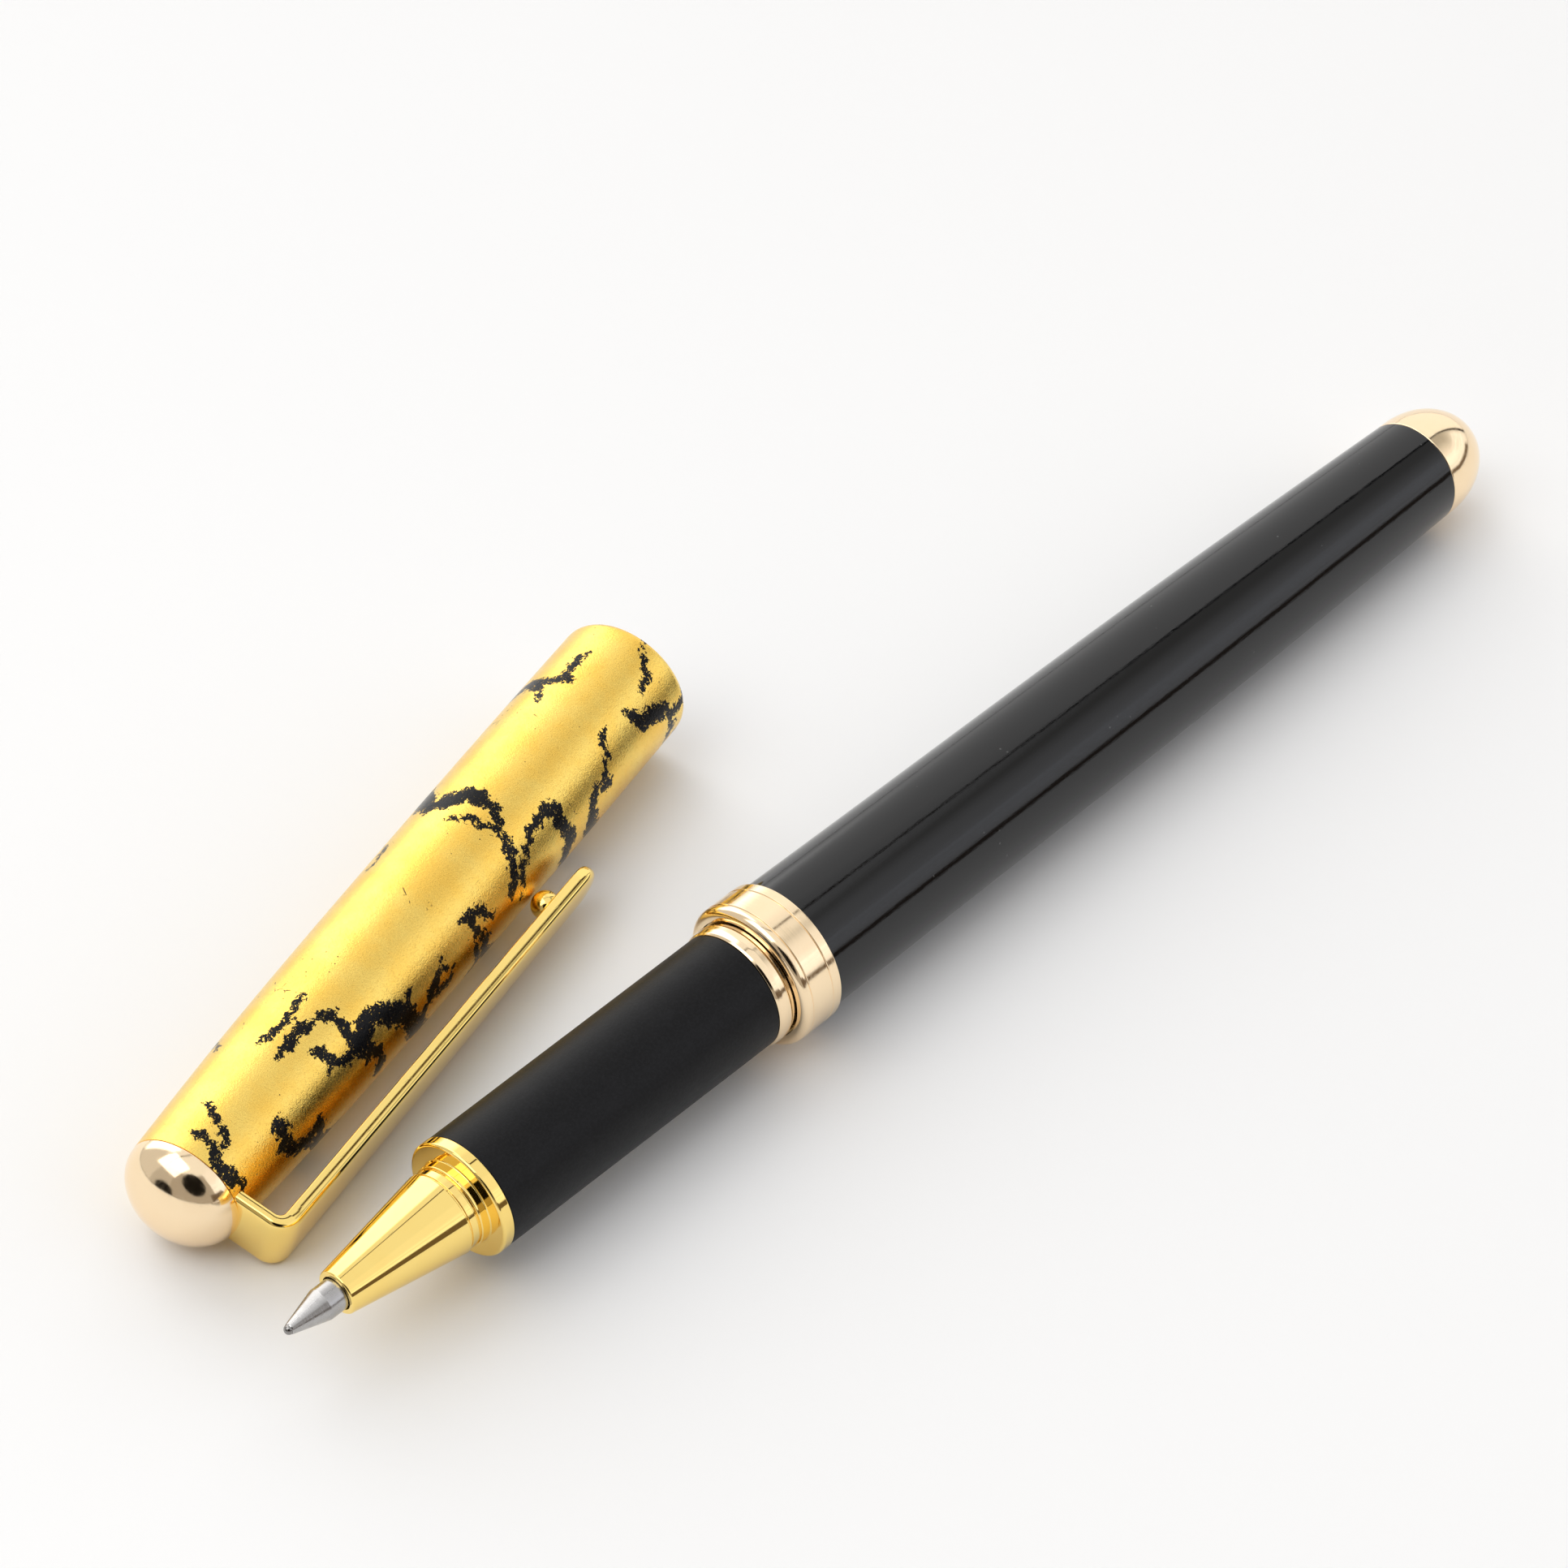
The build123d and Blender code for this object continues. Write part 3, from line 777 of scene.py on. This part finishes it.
def cap_tube():
    """Tube with a rounded lip, stepped inside, and a notch at the top for the clip's root."""
    profile = [(0.0, 4.25), (8.0, 4.62), (18.0, 4.88), (30.0, 5.01), (42.0, 5.07), (53.9, 5.05)]
    segments = 200
    notch_floor = 3.52
    notch_half = 37.0
    web_front = 0.85
    outer = curve_through(profile, 0.17)
    outer[0] = (*outer[0][:2], 0.0)
    lip = [(54.22, 5.02, 0.2), (CAP_LENGTH, 4.88, 0.16), (CAP_LENGTH, 4.62, 0.12)]
    corners = [
        *outer, *lip, (26.8, 4.62, 0.0), (26.8, 4.1, 0.0), (6.2, 4.1, 0.0), (6.2, 3.6, 0.0),
        (2.0, 3.6, 0.0), (2.0, 1.3, 0.0), (web_front, 1.3, 0.0), (web_front, 3.5, 0.0), (0.0, 3.5, 0.0),
    ]
    outline = [(p[0], p[1]) for p in rounded(corners)]

    def notch(along, degrees, radius):
        off = min(degrees, 360 - degrees)
        return notch_floor if along < web_front and off < notch_half and radius > 4 else radius

    verts, faces = lathe_parts(outline, segments, notch)
    mesh = finish_mesh("cap_tube", verts, faces)
    places = np.array([v.co for v in mesh.vertices]) / MM
    around = np.arctan2(-places[:, 1], places[:, 2]) * 5.0
    field = crack_field(places[:, 0], -around)
    field[np.hypot(places[:, 1], places[:, 2]) < 4.2] = -3.0
    crack = mesh.attributes.new("crack", "FLOAT", "POINT")
    crack.data.foreach_set("value", field.astype(np.float32))
    place_piece("cap_tube_fine", mesh, CAP, "cap", "gold_leaf_lacquer", ["cap_tube"])


def cap_dome():
    length = 3.12
    radius = 4.25
    nose = arc_outline((0.0, 0.0), (length, radius), 180, 96, 36)
    corners = [
        *nose, (0.0, radius, 0.10), (0.0, STUD_R, 0.0), (-2.2, STUD_R, 0.0), (-2.2, 0.0, 0.0),
    ]
    lathe("cap_dome", corners, CAP, "cap", "champagne_gold", 144)


# ---------------------------------------------------------------- clip

CLIP_LENGTH = 38.6
CLIP_TIP = 1.6
ROOT_W = 5.0
END_W = 3.4
CLIP_INNER = 6.6
CLIP_BALL_AT = 34.3
PLATE = 0.84
ARM = 1.10
CROWN = 0.14


def clip_half(half, thick, corner, inner):
    """Half of the strip's section, from the middle of its inner face round to the middle of its
    crowned outer face, as (out from the middle, up from the inner face). The corner runs into the
    crown without a crease."""
    slope = math.atan(2 * CROWN / half)
    points = [((half - inner) * k / 5, 0.0) for k in range(5)]
    for k in range(6):
        turn = math.radians(-90 + 90 * k / 5)
        points.append((half - inner + inner * math.cos(turn), inner + inner * math.sin(turn)))
    for k in range(8):
        turn = (math.pi / 2 - slope) * k / 7
        points.append((half - corner + corner * math.cos(turn), thick - corner + corner * math.sin(turn)))
    crown_edge, crown_foot = points[-1]
    for k in range(1, 9):
        across = crown_edge * (1 - k / 8)
        rise = crown_edge * math.tan(slope) / 2 * (1 - (1 - k / 8) ** 2)
        points.append((across, crown_foot + rise))
    return points


def clip_rows():
    """(place of the inner face, direction out of it, section) along the strip, where a section is
    (half width, thickness, outer corner, inner corner)."""
    bend = 0.55
    root_corner = 0.45
    end_corner = 0.34
    edge = 0.13
    found = []
    for k in range(9):
        z = 2.4 + (CLIP_INNER - bend - 2.4) * k / 8
        section = (ROOT_W / 2, PLATE, root_corner, edge)
        found.append((Vector((PLATE, 0, z)), Vector((-1, 0, 0)), section))
    for k in range(1, 17):
        turn = math.radians(90 * k / 16)
        out = Vector((-math.cos(turn), 0, math.sin(turn)))
        middle = Vector((PLATE + bend, 0, CLIP_INNER - bend))
        section = (ROOT_W / 2, PLATE + (ARM - PLATE) * k / 16, root_corner, edge)
        found.append((middle + out * bend, out, section))
    start = PLATE + bend
    straight_end = CLIP_LENGTH - CLIP_TIP
    for k in range(1, 71):
        s = start + (straight_end - start) * k / 70
        half = (ROOT_W + (END_W - ROOT_W) * s / straight_end) / 2
        corner = end_corner + (root_corner - end_corner) * max(0.0, 1 - s / 9) ** 2
        found.append((Vector((s, 0, CLIP_INNER)), Vector((0, 0, 1)), (half, ARM, corner, edge)))
    return found


def clip_grid(verts, faces, rows):
    """Adds a sheet of faces through rows of points."""
    first = len(verts)
    size = len(rows[0])
    for row in rows:
        verts += [tuple(point) for point in row]
    for i in range(len(rows) - 1):
        for k in range(size - 1):
            a = first + i * size + k
            faces.append((a, a + 1, a + size + 1, a + size))


def clip():
    """One strip of sprung metal: the plate under the dome, the bend and the long tapering arm."""
    verts = []
    faces = []
    rows = clip_rows()
    for side in (-1, 1):
        grid = []
        for base, out, section in rows:
            grid.append([base + Vector((0, side * x, 0)) + out * z for x, z in clip_half(*section)])
        clip_grid(verts, faces, grid)
        clip_grid(verts, faces, [grid[0], [Vector((v.x, 0, v.z)) for v in grid[0]]])
    base, out, (half, thick, corner, edge) = rows[-1]
    tip = []
    for k in range(25):
        turn = math.radians(-90 + 180 * k / 24)
        front = math.cos(turn)
        spread = Vector((front * CLIP_TIP / half, math.sin(turn), 0))
        rounder = (half, thick, corner + 0.28 * front, edge + 0.35 * front)
        tip.append([base + spread * x + out * z for x, z in clip_half(*rounder)])
    clip_grid(verts, faces, tip)
    ring = [(0.02, STUD_R + 0.05), (0.02, 3.45), (0.83, 3.45), (0.83, STUD_R + 0.05)]
    ring_verts, ring_faces = lathe_parts(ring, 72)
    shift = len(verts)
    verts += ring_verts
    faces += [tuple(shift + v for v in face) for face in ring_faces]
    mesh = finish_mesh("clip", verts, faces, 40.0)
    piece = place_piece("clip_strip", mesh, CAP, None, "yellow_gold", ["clip_root", "clip_arm"])
    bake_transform(piece)


def clip_ball():
    """The polished ball that presses on the cap, with the short neck it is riveted by."""
    radius = 1.05
    centre = 6.17
    neck = 0.7
    top = CLIP_INNER + 0.05
    angle = math.degrees(math.asin(neck / radius))
    ball = arc_outline((-centre, 0.0), (radius, radius), 0, 180 - angle, 36)
    corners = [*ball, (-top, neck, 0.0), (-top, 0.0, 0.0)]
    outline = [(p[0], p[1]) for p in rounded(corners)]
    verts, faces = lathe_parts(outline, 72)
    mesh = finish_mesh("clip_ball", [(CLIP_BALL_AT - v[2], v[1], -v[0]) for v in verts], faces)
    place_piece("clip_ball_fine", mesh, CAP, "clip", "yellow_gold", ["clip_ball"])


# ---------------------------------------------------------------- the CAD pieces that stay

KEPT = {
    "refill_holder": "holder_plastic",
    "ink_feed": "feed_fibre",
    "refill_tube": "refill_tube_metal",
    "ink_reservoir": "feed_fibre",
    "refill_end_plug": "end_plug_plastic",
    "nose_seal": "seal_rubber",
    "section_seal": "seal_rubber",
    "thread_bush": "bare_brass",
    "barrel_end_plug": "bare_brass",
    "dome_stud": "screw_steel",
    "cap_liner": "liner_plastic",
    "cap_screw": "screw_steel",
    "lock_washer": "screw_steel",
}


def finish_kept_nodes():
    for name, slot in KEPT.items():
        mesh = frame["nodes"][name].data
        mesh.materials.clear()
        mesh.materials.append(MATERIALS[slot])


# ---------------------------------------------------------------- studio

def floor():
    """A wide pale sheet that lies level under the pen."""
    size = 1400.0
    rows = 24
    verts = []
    for i in range(rows + 1):
        for j in range(rows + 1):
            verts.append(((i / rows - 0.5) * 2 * size, (j / rows - 0.5) * 2 * size, 0.0))
    faces = []
    for i in range(rows):
        for j in range(rows):
            a = i * (rows + 1) + j
            faces.append((a, a + rows + 1, a + rows + 2, a + 1))
    mesh = finish_mesh("floor", verts, faces)
    mesh.materials.append(floor_paper())
    sheet = bpy.data.objects.new("studio_floor", mesh)
    bpy.context.scene.collection.objects.link(sheet)


def direction(azimuth, rise):
    """The unit direction with this azimuth from +X and rise above the floor, in degrees."""
    a = math.radians(azimuth)
    e = math.radians(rise)
    return Vector((math.cos(e) * math.cos(a), math.cos(e) * math.sin(a), math.sin(e)))


# The tent of pale cloth round the table: (azimuth from, to, colour), in degrees from +X.
WALLS = [
    (-180, -92, (0.42, 0.39, 0.36)),
    (-92, -2, (1.00, 1.00, 1.02)),
    (-2, 2, (0.0, 0.0, 0.0)),
    (2, 92, (1.12, 1.11, 1.10)),
    (92, 148, (0.70, 0.68, 0.66)),
    (148, 180, (0.52, 0.50, 0.48)),
]


WALL_TOP = (50.0, 57.0)
CEILING = (0.95, 0.95, 0.95)
SEAM = (0.08, 0.055, 0.035)
BESIDE_SEAM = (0.46, 0.45, 0.43)
WINDOW = (2.3, 2.28, 2.24)
STREAK = (1.36, 1.39, 1.48)
GAP = (0.15, 0.11, 0.08)
FOOT = (0.2, 0.18, 0.16)
HOLE = (0.008, 0.007, 0.006)
BACKDROP = (0.93, 0.925, 0.92)

# Dark round holes in the cloth: (azimuth, rise, radius), in degrees.
HOLES = [(-133.0, 35.0, 22.0), (172.0, 3.0, 14.0)]


def tent_cloth(shade, way, azimuth, rise):
    """Ceiling with one dark tilted seam, and walls that are dimmer beside a black gap between them."""
    seam = shade.band(shade.toward(way, (-0.245, -0.95, 0.192)), -0.022, 0.022, 0.008)
    colour = shade.mix(seam, CEILING, SEAM)
    wall = shade.step(rise, *WALL_TOP, 1.0, 0.0)
    for low, high, tint in WALLS:
        inside = shade.times(shade.band(azimuth, low, high, 0.7), wall)
        colour = shade.mix(inside, colour, tint)
    beside = shade.times(shade.step(azimuth, -48.0, -18.0), shade.step(azimuth, -2.6, -1.4, 1.0, 0.0))
    dim = shade.times(shade.times(beside, shade.step(rise, 16.0, 50.0)), wall)
    return shade.mix(dim, colour, BESIDE_SEAM)


def tent_details(shade, colour, azimuth, rise):
    """A bright window, a streaky bright band, and a dark gap and edge at the foot of the cloth."""
    window = shade.times(shade.band(azimuth, 57.0, 96.0, 3.0), shade.band(rise, 7.0, 63.0, 3.0))
    colour = shade.mix(window, colour, WINDOW)
    inputs = {0: shade.times(azimuth, 0.03), 1: shade.times(rise, 0.55), 2: 0.0}
    streak_place = shade.node("ShaderNodeCombineXYZ", {}, inputs)
    streaks = shade.step(shade.noise(streak_place, 1.0, 3.0, 0.6), 0.35, 0.65)
    bright = shade.times(shade.band(azimuth, -90.0, -6.0, 2.0), shade.band(rise, 8.0, 30.0, 5.0))
    colour = shade.mix(shade.times(bright, streaks), colour, STREAK)
    gap_top = shade.step(azimuth, -75.0, -60.0, 13.0, 5.0)
    under = shade.step(shade.less(rise, gap_top), 0.0, 3.0, 1.0, 0.0)
    gap = shade.times(shade.band(azimuth, -104.0, -16.0, 3.0), under)
    colour = shade.mix(gap, colour, GAP)
    foot = shade.step(rise, 0.5, 1.5, 1.0, 0.0)
    return shade.mix(shade.times(foot, 0.7), colour, FOOT)


def studio_world():
    """Soft light from a cloth tent round the table, over a plain pale backdrop."""
    scene = bpy.context.scene
    scene.world = bpy.data.worlds.new("studio")
    scene.world.use_nodes = True
    shade = Shade(scene.world.node_tree)
    shade.tree.nodes.clear()
    way = shade.node("ShaderNodeTexCoord", output="Generated")
    split = shade.node("ShaderNodeSeparateXYZ", {}, {"Vector": way})
    x, y, z = split.node.outputs
    degrees = 180 / math.pi
    azimuth = shade.times(shade.math("ARCTAN2", y, x), degrees)
    rise = shade.times(shade.math("ARCSINE", z), degrees)

    colour = tent_cloth(shade, way, azimuth, rise)
    colour = tent_details(shade, colour, azimuth, rise)
    for to_azimuth, to_rise, radius in HOLES:
        near = shade.toward(way, direction(to_azimuth, to_rise))
        cosine = math.cos(math.radians(radius))
        hole = shade.step(near, cosine - 0.008, cosine + 0.008)
        colour = shade.mix(hole, colour, HOLE)

    seen = shade.node("ShaderNodeLightPath", output="Is Camera Ray")
    colour = shade.mix(seen, colour, BACKDROP)
    background = shade.node("ShaderNodeBackground", {}, {"Color": colour, "Strength": 1.0})
    output = shade.tree.nodes.new("ShaderNodeOutputWorld")
    shade.tree.links.new(background, output.inputs["Surface"])


def soft_light(name, azimuth, rise, distance, size, power, colour):
    """A square area light that faces the middle of the table."""
    data = bpy.data.lights.new(name, "AREA")
    data.shape = "SQUARE"
    data.size = size
    data.energy = power
    data.color = colour
    light = bpy.data.objects.new(name, data)
    bpy.context.scene.collection.objects.link(light)
    away = direction(azimuth, rise)
    light.location = away * distance
    light.rotation_euler = away.to_track_quat("Z", "Y").to_euler()


def camera():
    """A long lens high on the near left, rolled very slightly."""
    distance = 348.2 * MM
    target = Vector((0.945, 1.734, 0.0)) * MM
    data = bpy.data.cameras.new("camera")
    data.lens = 111.54
    data.sensor_width = 36.0
    data.clip_start = 0.01
    data.clip_end = 20.0
    eye = bpy.data.objects.new("camera", data)
    bpy.context.scene.collection.objects.link(eye)
    away = direction(-138.09, 44.79)
    eye.location = target + away * distance
    roll = Matrix.Rotation(math.radians(1.21), 4, "Z")
    eye.rotation_euler = (away.to_track_quat("Z", "Y").to_matrix().to_4x4() @ roll).to_euler()
    bpy.context.scene.camera = eye


# ---------------------------------------------------------------- making it

for make in (
    writing_ball, refill_tip, nose_cone, grip_sleeve, snap_ring, section_core,
    centre_band, barrel_tube, rear_dome, refill_spring,
    cap_tube, cap_dome, clip, clip_ball, finish_kept_nodes,
    floor, studio_world, camera,
):
    make()

soft_light("key_softbox", 160.0, 57.0, 0.8, 0.62, 1.75, (1.0, 1.0, 1.0))

bpy.context.scene.view_settings.view_transform = "Standard"
bpy.context.scene.view_settings.look = "None"
